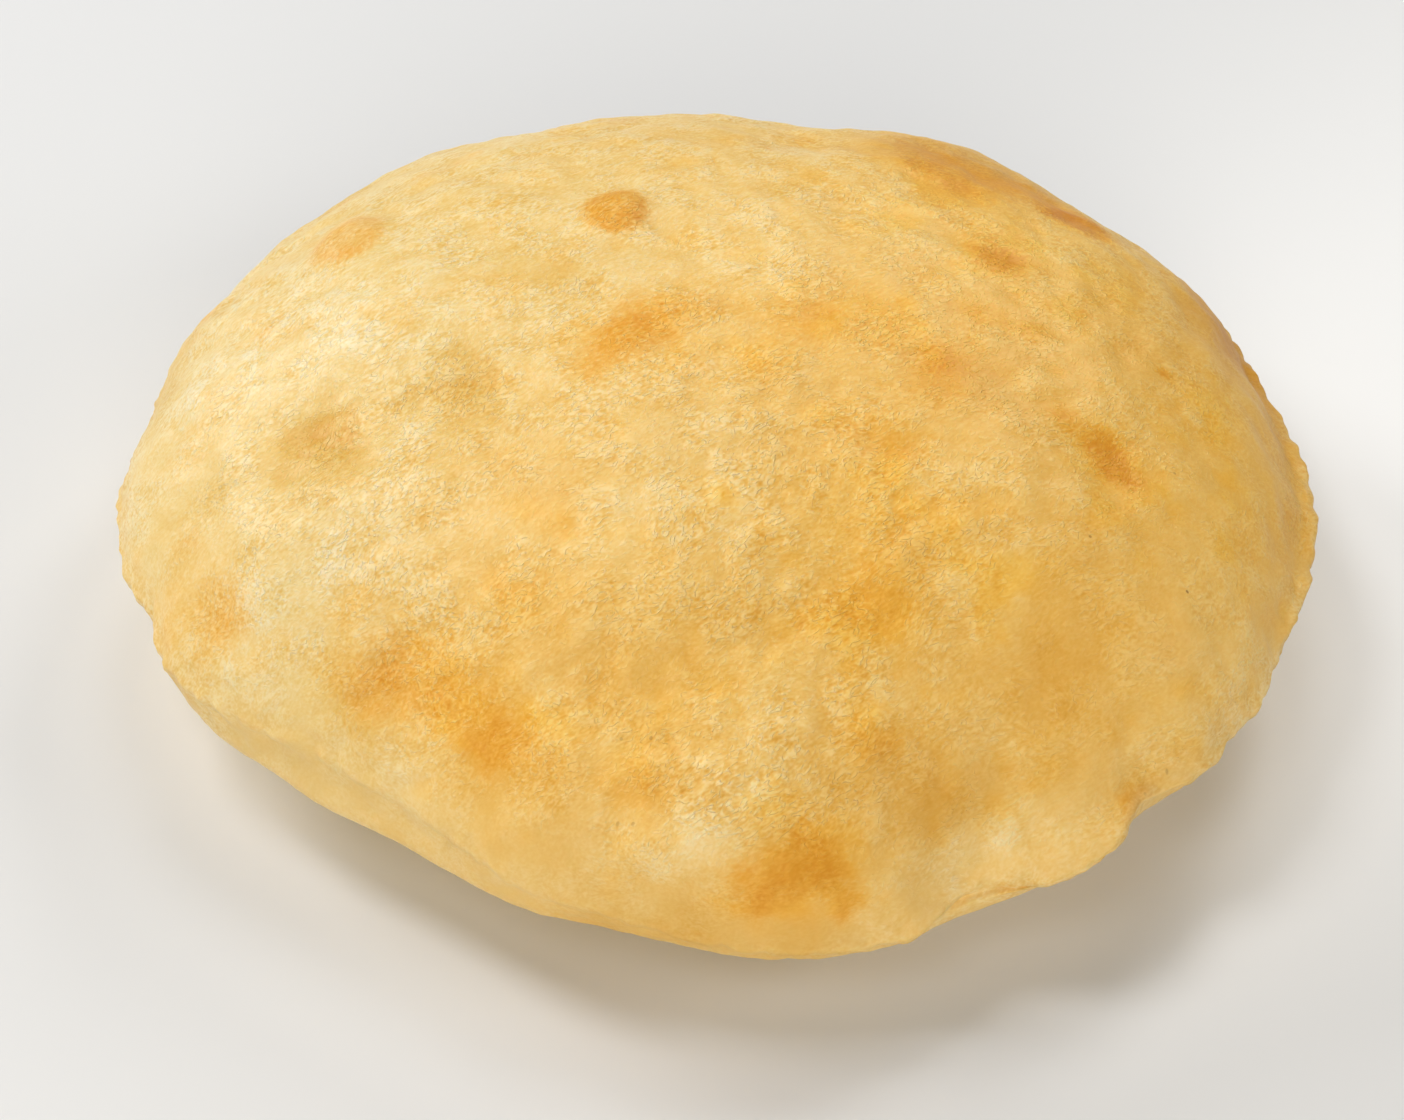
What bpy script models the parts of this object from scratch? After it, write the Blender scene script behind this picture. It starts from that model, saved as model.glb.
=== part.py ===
"""Bhatura: a round of leavened dough, deep-fried until it puffed up like a cushion.

It is one closed solid. A domed top skin and a fuller, paler underside meet in a
wavy seam whose thin lip stands out all round, and the bread rests on a flat spot
under its belly. Units are metres, +Z is up, and the origin is on the resting
plane, under the middle of the bread. Angles are in degrees, anticlockwise from +X.
"""
import math
import random

import bmesh
import bpy
from mathutils import Vector, noise

# Overall sizes
SEAM_HALF_WIDTH = 0.0922       # middle to lip along X
SEAM_HALF_DEPTH = 0.0850       # middle to lip along Y
CROWN_HEIGHT = 0.0560          # resting plane to the top of the dome
SEAM_HEIGHT = 0.0210           # resting plane to the seam
CROWN_SHIFT = (-0.004, 0.004)  # how far the top of the dome lies off the middle

# Form of the two skins, as rounded-off power curves
DOME_FORM = (2.2, 0.58)        # squareness and steepness
BELLY_FORM = (2.4, 0.60)
BELLY_PRESSED = 0.0025         # how far the belly would bulge below the resting plane
BELLY_SETTLE = 0.0010          # softness of the edge of the flat spot
ROOT_SOFTNESS = 0.008          # fillet between a skin and the lip
BULGE_DEPTH = 0.080            # how far in from the seam a bulge is fullest, as a share

# Lip of the seam
LIP_REACH = 0.0006
LIP_HALF_THICKNESS = 0.0009

# Waves of the seam: at angle, half width in degrees, and reach outwards
SEAM_WAVES = (
    (3, 7, -0.0014),
    (15, 8, -0.0026),       # shallow bay on the right
    (41, 12, -0.0048),      # bay at the back right
    (60, 6, 0.0008),
    (81, 12, -0.0076),      # flattened back
    (100, 13, -0.0036),
    (121, 8, -0.0020),
    (132, 10, 0.0036),      # full back left
    (152, 8, 0.0012),
    (171, 6, 0.0020),
    (186, 6, 0.0012),
    (197, 14, 0.0042),      # long left nose
    (213, 8, 0.0030),
    (238, 13, -0.0024),     # seam drawn in over the belly at the front left
    (251, 9, 0.0028),
    (276, 16, 0.0034),      # front nose
    (304, 8, 0.0010),
    (338, 8, -0.0024),
    (350, 9, -0.0016),
)
# Short waves of the edge alone: at angle, half width in degrees, and reach outwards
EDGE_WAVES = (
    (30, 5, 0.0018),
    (204, 3, -0.0014),
    (288, 4, 0.0016),
    (294, 5, -0.0026),
    (304, 6, 0.0018),
    (314, 4, -0.0028),      # notch at the front right
    (320, 4, 0.0006),
    (325, 4, -0.0012),
)
# Rise and fall of the seam: at angle, half width in degrees, and rise
SEAM_RISES = (
    (10, 50, 0.002),
    (235, 20, 0.003),
    (280, 20, -0.006),
)
# Where the lip is longer: at angle, half width in degrees, and reach
LIP_CHANGES = (
    (2, 22, 0.0032),
    (130, 20, 0.0020),
    (302, 13, 0.0048),
)
# Where the top skin flares out gently into the lip: at angle, half width, and softness
FLARES = (
    (4, 26, 0.030),
    (130, 20, 0.010),
    (232, 22, 0.030),
    (300, 17, 0.040),
)
# Where the top skin bulges out over the seam: at angle, half width, and reach
DOME_BULGES = (
    (272, 15, 0.0030),
)
# Where the belly bulges out under the seam: at angle, half width, and reach
BELLY_BULGES = (
    (190, 25, 0.0008),
    (230, 22, 0.0064),
    (262, 25, 0.0016),
    (300, 16, 0.0048),
)
# Crinkle of the seam: how many small waves go round, each this deep
CRINKLE_CYCLES = (17, 23, 29)
CRINKLE_DEPTH = 0.00030
# How soon the waves, and those of the edge alone, die away inwards, as powers
WAVE_FADE = 3
EDGE_FADE = 22

# Relief of the top skin: x, y, z of the middle, radius, and rise (or fall) of the skin
RELIEF = (
    # broad swells and hollows
    (-0.052, 0.006, 0.051, 0.014, 0.0014),
    (-0.061, -0.020, 0.046, 0.009, -0.0020),
    (-0.043, -0.016, 0.051, 0.010, -0.0012),
    (-0.036, -0.008, 0.053, 0.009, -0.0006),
    (-0.055, -0.032, 0.045, 0.008, 0.0014),
    (-0.044, -0.029, 0.050, 0.008, 0.0010),
    (-0.077, -0.024, 0.037, 0.006, -0.0010),
    (-0.071, -0.044, 0.033, 0.007, -0.0014),
    (-0.064, -0.040, 0.039, 0.007, 0.0010),
    (-0.042, -0.056, 0.039, 0.009, -0.0016),
    (-0.029, -0.066, 0.036, 0.009, -0.0018),
    (-0.044, -0.068, 0.030, 0.008, 0.0012),
    (-0.012, -0.066, 0.041, 0.010, -0.0012),
    (0.002, -0.078, 0.033, 0.011, 0.0020),
    (-0.007, -0.080, 0.030, 0.006, 0.0010),
    (0.012, -0.050, 0.046, 0.014, -0.0010),
    (0.047, -0.056, 0.037, 0.016, -0.0012),
    (0.038, -0.031, 0.049, 0.016, 0.0012),
    (0.010, 0.055, 0.048, 0.010, -0.0012),
    (-0.010, -0.030, 0.053, 0.014, 0.0010),
    (0.055, -0.018, 0.047, 0.007, -0.0010),
    # two round blisters
    (-0.020, 0.023, 0.056, 0.0054, 0.0019),
    (-0.061, 0.025, 0.047, 0.0070, 0.0013),
)
# Slight unevenness all over the top skin
UNEVEN_SPACING = 0.017
UNEVEN_DEPTH = 0.0005
RELIEF_FADE = 0.06             # share of the way in from the seam over which relief fades

# Mesh
SEGMENTS = 112
RINGS = 34
RING_CROWDING = 1.5            # more rings towards the seam
SEED = 7

CRUST_COLOUR = (0.80, 0.52, 0.17, 1.0)
CRUST_ROUGHNESS = 0.45


def clear_scene():
    """Remove whatever the scene holds."""
    for old in list(bpy.data.objects):
        bpy.data.objects.remove(old, do_unlink=True)


def along_seam(angle, features):
    """Sum of smooth bumps that sit at angles round the seam."""
    total = 0.0
    for at, half_width, amount in features:
        apart = (angle - at + 180.0) % 360.0 - 180.0
        total += amount * math.exp(-(apart / half_width) ** 2)
    return total


def crinkle(angle, phase):
    """Small waves of the seam, the same on every run."""
    draw = random.Random(SEED + phase)
    turns = [draw.uniform(0.0, 360.0) for _ in CRINKLE_CYCLES]
    waves = [math.sin(math.radians(angle * cycles + turn))
             for cycles, turn in zip(CRINKLE_CYCLES, turns)]
    return CRINKLE_DEPTH * sum(waves)


def oval_radius(angle):
    """Distance from the middle to the plain oval that the seam follows."""
    turn = math.radians(angle)
    across = math.cos(turn) / SEAM_HALF_WIDTH
    along = math.sin(turn) / SEAM_HALF_DEPTH
    return 1.0 / math.hypot(across, along)


def soft_ramp(value, softness):
    """Value where it is positive, easing to nothing where it is negative."""
    return 0.5 * (value + math.hypot(value, softness))


def skin_curve(radius, seam, root, softness, form):
    """Height of a skin over the seam, 1 at the middle and 0 at the tip of the lip."""
    squareness, steepness = form
    here = soft_ramp(1.0 - (radius / root) ** squareness, softness) ** steepness
    tip = soft_ramp(1.0 - (seam / root) ** squareness, softness) ** steepness
    middle = soft_ramp(1.0, softness) ** steepness
    return (here - tip) / (middle - tip)


def lip_root(angle, seam):
    """Distance from the middle to the root of the lip."""
    return seam - LIP_REACH - along_seam(angle, LIP_CHANGES)


def lip_thickness(radius, seam):
    """Half thickness of the lip, rounded off at its tip."""
    into_tip = (radius - seam + LIP_HALF_THICKNESS) / LIP_HALF_THICKNESS
    into_tip = min(max(into_tip, 0.0), 1.0)
    return LIP_HALF_THICKNESS * math.sqrt(1.0 - into_tip ** 2)


def seam_height(angle):
    """Height of the seam above the resting plane."""
    return SEAM_HEIGHT + along_seam(angle, SEAM_RISES)


def top_height(radius, angle, seam):
    """Height of the top skin above the resting plane."""
    level = seam_height(angle)
    softness = ROOT_SOFTNESS + along_seam(angle, FLARES)
    dome = skin_curve(radius, seam, lip_root(angle, seam), softness, DOME_FORM)
    return level + lip_thickness(radius, seam) + (CROWN_HEIGHT - level) * dome


def belly_height(radius, angle, seam):
    """Height of the underside above the resting plane, flat where it rests."""
    level = seam_height(angle)
    belly = skin_curve(radius, seam, lip_root(angle, seam), ROOT_SOFTNESS, BELLY_FORM)
    height = level - lip_thickness(radius, seam) - (level + BELLY_PRESSED) * belly
    if height <= 0.0:
        return 0.0
    return height * height / (height + BELLY_SETTLE)


def bulge(reach):
    """Share of a bulge at this reach, fullest just inside the seam."""
    inwards = (1.0 - reach) / BULGE_DEPTH
    return inwards ** 2 * math.exp(2.0 - 2.0 * inwards)


def seam_share(tilt):
    """How far out towards the seam a ring lies, 0 in the middle and 1 at the lip."""
    outward = min(tilt, 180.0 - tilt) / 90.0
    return 1.0 - (1.0 - outward) ** RING_CROWDING


def bread_point(angle, tilt):
    """Point of the crust; tilt is 0 at the crown, 90 at the seam, 180 under the belly."""
    oval = oval_radius(angle)
    wave = along_seam(angle, SEAM_WAVES)
    seam = oval + wave
    reach = seam_share(tilt)
    edge = along_seam(angle, EDGE_WAVES) + crinkle(angle, 0)
    radius = oval * reach + wave * reach ** WAVE_FADE + edge * reach ** EDGE_FADE
    turn = math.radians(angle)
    shift = (0.0, 0.0)
    if tilt <= 90.0:
        height = top_height(seam * reach, angle, seam)
        radius += along_seam(angle, DOME_BULGES) * bulge(reach)
        shift = [side * (1.0 - reach ** 2) for side in CROWN_SHIFT]
    else:
        height = belly_height(seam * reach, angle, seam)
        radius += along_seam(angle, BELLY_BULGES) * bulge(reach)
    height += crinkle(angle, 1) * reach ** EDGE_FADE * min(1.0, height / SEAM_HEIGHT)
    return (radius * math.cos(turn) + shift[0], radius * math.sin(turn) + shift[1], height)


def relief(place):
    """Rise of the top skin at a place: swells, hollows, blisters and unevenness."""
    total = UNEVEN_DEPTH * noise.noise(place / UNEVEN_SPACING)
    for x, y, z, radius, rise in RELIEF:
        apart = (place - Vector((x, y, z))).length / radius
        total += rise * math.exp(-apart ** 2)
    return total


def shape_bread(mesh):
    """Turn a ball of rings and segments into the bread."""
    fades = {}
    for vert in mesh.verts:
        flat = math.hypot(vert.co.x, vert.co.y)
        angle = math.degrees(math.atan2(vert.co.y, vert.co.x)) % 360.0
        tilt = math.degrees(math.atan2(flat, vert.co.z))
        vert.co = bread_point(angle, tilt)
        if tilt < 90.0:
            fades[vert] = min(1.0, (1.0 - seam_share(tilt)) / RELIEF_FADE)
    bmesh.ops.recalc_face_normals(mesh, faces=mesh.faces)
    mesh.normal_update()
    raised = {vert: vert.co + vert.normal * relief(vert.co) * fade
              for vert, fade in fades.items()}
    for vert, place in raised.items():
        vert.co = place


def centre_on_origin(mesh):
    """Move the bread so that its box stands centred over the origin."""
    for axis in (0, 1):
        places = [vert.co[axis] for vert in mesh.verts]
        middle = 0.5 * (min(places) + max(places))
        for vert in mesh.verts:
            vert.co[axis] -= middle


def crust_material():
    """Golden fried crust."""
    material = bpy.data.materials.new("fried_crust")
    material.use_nodes = True
    shader = material.node_tree.nodes["Principled BSDF"]
    shader.inputs["Base Color"].default_value = CRUST_COLOUR
    shader.inputs["Roughness"].default_value = CRUST_ROUGHNESS
    shader.inputs["Metallic"].default_value = 0.0
    material.diffuse_color = CRUST_COLOUR
    return material


def make_bhatura():
    """The whole bread, as one solid."""
    mesh = bmesh.new()
    bmesh.ops.create_uvsphere(mesh, u_segments=SEGMENTS, v_segments=RINGS, radius=1.0)
    shape_bread(mesh)
    centre_on_origin(mesh)
    data = bpy.data.meshes.new("bhatura")
    mesh.to_mesh(data)
    mesh.free()
    data.materials.append(crust_material())
    data.shade_smooth()
    bread = bpy.data.objects.new("bhatura", data)
    bpy.context.scene.collection.objects.link(bread)
    return bread


def main():
    clear_scene()
    make_bhatura()


if __name__ == "__main__":
    main()
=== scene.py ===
"""Bhatura: the looks of a round of leavened dough, deep-fried until it puffed up.

The bread is one piece, its crust. Two square grids are wrapped on to a disc, one for
the domed top skin and one for the belly, and are joined along the wavy seam. Named
swells, hollows, blisters and creases then raise or sink the skin, and the browning
is kept as attributes that the crust's material reads. Lengths are in metres and
angles in degrees, anticlockwise from +X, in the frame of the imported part.
"""
import math

import bmesh
import bpy
import numpy as np
from bpy.props import FloatProperty, FloatVectorProperty, IntProperty, PointerProperty
from mathutils import Matrix, Vector, noise


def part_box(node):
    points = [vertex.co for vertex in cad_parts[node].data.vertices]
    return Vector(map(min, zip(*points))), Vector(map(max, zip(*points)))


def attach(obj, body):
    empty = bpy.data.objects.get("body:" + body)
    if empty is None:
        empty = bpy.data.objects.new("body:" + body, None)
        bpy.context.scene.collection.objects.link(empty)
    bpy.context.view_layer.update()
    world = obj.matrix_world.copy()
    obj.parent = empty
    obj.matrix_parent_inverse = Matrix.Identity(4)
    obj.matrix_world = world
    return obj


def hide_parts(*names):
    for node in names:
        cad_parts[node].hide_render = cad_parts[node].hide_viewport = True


bl_info = {
    "name": "Bhatura",
    "version": (1, 0, 0),
    "blender": (4, 5, 0),
    "location": "3D View > Sidebar > Bhatura",
    "description": "Puffed deep-fried bread with a blistered, unevenly browned crust",
    "category": "Add Mesh",
}

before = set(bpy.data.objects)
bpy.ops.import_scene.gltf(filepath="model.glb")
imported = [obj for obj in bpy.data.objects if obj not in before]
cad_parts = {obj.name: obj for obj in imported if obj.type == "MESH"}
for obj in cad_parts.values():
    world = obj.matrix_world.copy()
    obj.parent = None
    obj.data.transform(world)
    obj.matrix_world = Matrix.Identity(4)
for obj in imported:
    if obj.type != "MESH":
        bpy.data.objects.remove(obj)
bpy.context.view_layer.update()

# Waves of the seam: at angle, half width in degrees, and reach outwards
SEAM_WAVES = (
    (3, 7, -0.0014),
    (15, 8, -0.0026),       # shallow bay on the right
    (41, 12, -0.0048),      # bay at the back right
    (60, 6, 0.0008),
    (81, 12, -0.0076),      # flattened back
    (100, 13, -0.0036),
    (121, 8, -0.0020),
    (132, 10, 0.0036),      # full back left
    (152, 8, 0.0012),
    (171, 6, 0.0020),
    (186, 6, 0.0012),
    (197, 14, 0.0042),      # long left nose
    (213, 8, 0.0030),
    (238, 13, -0.0024),     # seam drawn in over the belly at the front left
    (251, 9, 0.0028),
    (276, 16, 0.0034),      # front nose
    (304, 8, 0.0010),
    (338, 8, -0.0024),
    (350, 9, -0.0016),
)
# Short waves of the edge alone: at angle, half width in degrees, and reach outwards
EDGE_WAVES = (
    (30, 5, 0.0018),
    (204, 3, -0.0014),
    (288, 4, 0.0016),
    (294, 5, -0.0026),
    (304, 6, 0.0018),
    (314, 4, -0.0028),      # notch at the front right
    (320, 4, 0.0006),
    (325, 4, -0.0012),
)
# Rise and fall of the seam: at angle, half width in degrees, and rise
SEAM_RISES = (
    (10, 50, 0.002),
    (235, 20, 0.003),
    (280, 20, -0.006),
)
# Where the lip is longer: at angle, half width in degrees, and reach
LIP_CHANGES = (
    (2, 22, 0.0032),
    (130, 20, 0.0020),
    (302, 13, 0.0048),
)
# Where the top skin flares out gently into the lip: at angle, half width, and softness
FLARES = (
    (4, 26, 0.030),
    (130, 20, 0.010),
    (232, 22, 0.030),
    (300, 17, 0.040),
)
# Where the top skin bulges out over the seam: at angle, half width, and reach
DOME_BULGES = (
    (272, 15, 0.0030),
)
# Where the belly bulges out under the seam: at angle, half width, and reach
BELLY_BULGES = (
    (190, 25, 0.0008),
    (230, 22, 0.0064),
    (262, 25, 0.0016),
    (300, 16, 0.0048),
)

# Relief of the top skin: x, y, z of the middle, radius, and rise (or fall) of the skin
SWELLS = (
    (-0.052, 0.006, 0.051, 0.014, 0.0014),
    (-0.061, -0.020, 0.046, 0.009, -0.0020),
    (-0.043, -0.016, 0.051, 0.010, -0.0012),
    (-0.036, -0.008, 0.053, 0.009, -0.0006),
    (-0.055, -0.032, 0.045, 0.008, 0.0014),
    (-0.044, -0.029, 0.050, 0.008, 0.0010),
    (-0.077, -0.024, 0.037, 0.006, -0.0010),
    (-0.071, -0.044, 0.033, 0.007, -0.0014),
    (-0.064, -0.040, 0.039, 0.007, 0.0010),
    (-0.042, -0.056, 0.039, 0.009, -0.0016),
    (-0.029, -0.066, 0.036, 0.009, -0.0018),
    (-0.044, -0.068, 0.030, 0.008, 0.0012),
    (-0.012, -0.066, 0.041, 0.010, -0.0012),
    (0.002, -0.078, 0.033, 0.011, 0.0020),
    (-0.007, -0.080, 0.030, 0.006, 0.0010),
    (0.012, -0.050, 0.046, 0.014, -0.0010),
    (0.047, -0.056, 0.037, 0.016, -0.0012),
    (0.038, -0.031, 0.049, 0.016, 0.0012),
    (0.010, 0.055, 0.048, 0.010, -0.0012),
    (-0.010, -0.030, 0.053, 0.014, 0.0010),
    (0.055, -0.018, 0.047, 0.007, -0.0010),
)
# Blisters: x, y, z of the middle, half width, half length, rise, and how brown
BLISTERS = (
    (-0.0186, 0.0246, 0.0565, 0.0054, 0.0064, 0.0016, 0.54),
    (-0.0606, 0.0250, 0.0476, 0.0068, 0.0082, 0.0015, 0.32),
    (0.0156, -0.0006, 0.0562, 0.0010, 0.0010, 0.0005, 0.00),
)
RIM_STEEPNESS = 7.0            # how sharply a blister ends at its rim
RISE_ENDS = 0.80               # where its rise ends, as a share of its size
BROWN_ENDS = 0.95              # and its browning
BROWN_SPREAD = (0.72, 0.42)    # browning in its middle, and added towards its rim
# Patches of browning: x, y, z of the middle, radius, and how brown (1 is the brownest)
BROWN_PATCHES = (
    # cloud across the crown
    (-0.0207, -0.0120, 0.0554, 0.0030, 0.30),
    (-0.0172, -0.0069, 0.0560, 0.0042, 0.40),
    (-0.0116, -0.0008, 0.0558, 0.0056, 0.36),
    (-0.0130, -0.0055, 0.0555, 0.0056, 0.22),
    (-0.0050, 0.0016, 0.0560, 0.0056, 0.20),
    (0.0046, -0.0076, 0.0554, 0.0070, 0.06),
    (0.0068, -0.0010, 0.0558, 0.0070, 0.12),
    (0.0100, 0.0020, 0.0566, 0.0044, 0.16),
    (0.0159, 0.0025, 0.0562, 0.0056, 0.16),
    (0.0174, -0.0030, 0.0559, 0.0070, 0.12),
    (0.0245, 0.0020, 0.0553, 0.0046, 0.18),
    (0.0310, -0.0050, 0.0540, 0.0036, 0.34),
    (0.0323, -0.0115, 0.0539, 0.0028, 0.18),
    (-0.0042, -0.0123, 0.0562, 0.0050, 0.10),
    (0.0044, -0.0124, 0.0560, 0.0060, 0.12),
    # back right
    (0.0357, 0.0436, 0.0498, 0.0060, 0.38),
    (0.0293, 0.0477, 0.0503, 0.0050, 0.30),
    (0.0427, 0.0486, 0.0465, 0.0050, 0.20),
    (0.0347, 0.0547, 0.0469, 0.0050, 0.16),
    (0.0412, 0.0219, 0.0518, 0.0042, 0.66),
    (0.0390, 0.0216, 0.0524, 0.0034, 0.50),
    (0.0400, 0.0300, 0.0515, 0.0050, 0.12),
    (0.0560, 0.0432, 0.0436, 0.0044, 0.84),
    (0.0518, 0.0440, 0.0448, 0.0036, 0.56),
    (0.0589, 0.0408, 0.0435, 0.0026, 0.40),
    (0.0108, 0.0575, 0.0471, 0.0046, 0.26),
    (-0.0201, 0.0637, 0.0449, 0.0060, 0.18),
    # right
    (0.0488, -0.0112, 0.0495, 0.0024, 0.40),
    (0.0540, -0.0130, 0.0473, 0.0026, 0.52),
    (0.0548, -0.0156, 0.0465, 0.0026, 0.50),
    (0.0568, -0.0180, 0.0455, 0.0030, 0.84),
    (0.0603, -0.0188, 0.0450, 0.0026, 0.26),
    (0.0665, 0.0061, 0.0443, 0.0011, 0.90),
    (0.0383, -0.0411, 0.0451, 0.0020, 0.30),
    # broad golden band down the middle right
    (0.0189, -0.0208, 0.0539, 0.0056, 0.20),
    (0.0134, -0.0280, 0.0520, 0.0050, 0.08),
    (0.0247, -0.0218, 0.0534, 0.0040, 0.18),
    (0.0160, -0.0350, 0.0495, 0.0070, 0.14),
    (0.0223, -0.0440, 0.0450, 0.0050, 0.20),
    (0.0189, -0.0475, 0.0445, 0.0046, 0.24),
    (0.0252, -0.0476, 0.0434, 0.0040, 0.16),
    (0.0063, -0.0390, 0.0496, 0.0018, 0.26),
    (0.0010, -0.0344, 0.0519, 0.0018, 0.22),
    (-0.0223, -0.0388, 0.0506, 0.0022, 0.20),
    (0.0218, -0.0641, 0.0361, 0.0036, 0.26),
    # front nose
    (0.0102, -0.0800, 0.0276, 0.0040, 0.42),
    (0.0147, -0.0782, 0.0282, 0.0038, 0.50),
    (0.0173, -0.0780, 0.0268, 0.0034, 0.46),
    (0.0077, -0.0822, 0.0243, 0.0036, 0.42),
    (0.0046, -0.0812, 0.0277, 0.0030, 0.26),
    (0.0130, -0.0761, 0.0307, 0.0036, 0.30),
    (0.0199, -0.0798, 0.0222, 0.0028, 0.34),
    (0.0196, -0.0809, 0.0193, 0.0018, 0.46),
    # front left
    (-0.0430, -0.0556, 0.0364, 0.0062, 0.16),
    (-0.0479, -0.0546, 0.0346, 0.0056, 0.16),
    (-0.0415, -0.0540, 0.0386, 0.0044, 0.14),
    (-0.0385, -0.0590, 0.0365, 0.0050, 0.22),
    (-0.0345, -0.0608, 0.0364, 0.0056, 0.20),
    (-0.0310, -0.0628, 0.0364, 0.0050, 0.16),
    (-0.0469, -0.0580, 0.0349, 0.0040, 0.16),
    (-0.0275, -0.0652, 0.0362, 0.0056, 0.20),
    (-0.0307, -0.0661, 0.0347, 0.0040, 0.20),
    (-0.0240, -0.0690, 0.0349, 0.0050, 0.14),
    (-0.0282, -0.0679, 0.0343, 0.0050, 0.12),
    (-0.0335, -0.0590, 0.0375, 0.0050, 0.08),
    # left
    (-0.0709, -0.0436, 0.0315, 0.0050, 0.28),
    (-0.0700, -0.0395, 0.0345, 0.0060, 0.14),
    (-0.0782, -0.0301, 0.0329, 0.0036, 0.18),
    (-0.0800, -0.0412, 0.0244, 0.0034, 0.22),
    (-0.0833, 0.0214, 0.0328, 0.0044, 0.26),
    (-0.0705, 0.0064, 0.0437, 0.0026, 0.24),
    (-0.0645, 0.0030, 0.0470, 0.0034, 0.16),
    # tab beside the notch
    (0.0612, -0.0600, 0.0205, 0.0034, 0.66),
    (0.0624, -0.0600, 0.0195, 0.0030, 0.40),
)
# Broad golden areas: x, y, z of the middle, radius, and how golden
GOLDEN_PATCHES = (
    (0.0770, -0.0090, 0.0380, 0.0700, 0.82),
    (0.0360, 0.0390, 0.0500, 0.0340, 0.52),
    (0.0520, 0.0240, 0.0470, 0.0260, 0.44),
    (0.0430, -0.0550, 0.0340, 0.0360, 0.50),
    (0.0200, -0.0370, 0.0500, 0.0180, 0.40),
    (0.0310, 0.0010, 0.0550, 0.0160, 0.35),
    (0.0080, 0.0010, 0.0560, 0.0200, 0.30),
    (-0.0020, 0.0510, 0.0480, 0.0340, 0.26),
    (-0.0180, -0.0090, 0.0540, 0.0150, 0.26),
    (-0.0050, -0.0540, 0.0420, 0.0260, 0.48),
    (-0.0080, -0.0640, 0.0400, 0.0110, 0.40),
    (-0.0350, -0.0590, 0.0370, 0.0170, 0.42),
    (-0.0270, -0.0380, 0.0480, 0.0220, 0.36),
    (-0.0450, 0.0360, 0.0500, 0.0260, 0.20),
    (-0.0780, -0.0410, 0.0280, 0.0100, 0.38),
    (0.0110, -0.0830, 0.0220, 0.0180, 0.50),
    (-0.0250, -0.0790, 0.0200, 0.0200, 0.45),
)
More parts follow.
